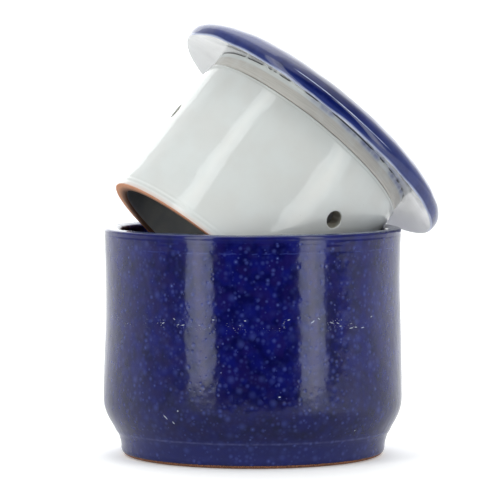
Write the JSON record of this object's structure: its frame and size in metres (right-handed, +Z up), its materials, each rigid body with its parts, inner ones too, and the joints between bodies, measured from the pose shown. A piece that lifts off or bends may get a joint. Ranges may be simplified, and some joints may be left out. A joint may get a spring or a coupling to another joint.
{
  "type": "butter crock",
  "caption": "Glazed pot that holds water, with a domed lid whose hanging bell keeps butter sealed; the lid leans in the pot's mouth.",
  "frame": {"origin": "centre of the pot's flat base, on the surface it stands on", "axes": "+Z up along the pot's axis; the lid leans towards +X and a little towards +Y"},
  "size_m": [0.1355, 0.1311, 0.1743],
  "materials": {
    "cobalt_glaze": "gloss",
    "white_glaze": "gloss"
  },
  "bodies": {
    "crock": {"crock_pot": "cobalt_glaze"},
    "lid": {"butter_bell": "white_glaze", "lid_plate": "cobalt_glaze"}
  },
  "joints": [
    {"name": "lid_lift", "type": "slide", "parent": "crock", "child": "lid", "axis": [0, 0, 1], "range_m": [0, 0.09]}
  ]
}
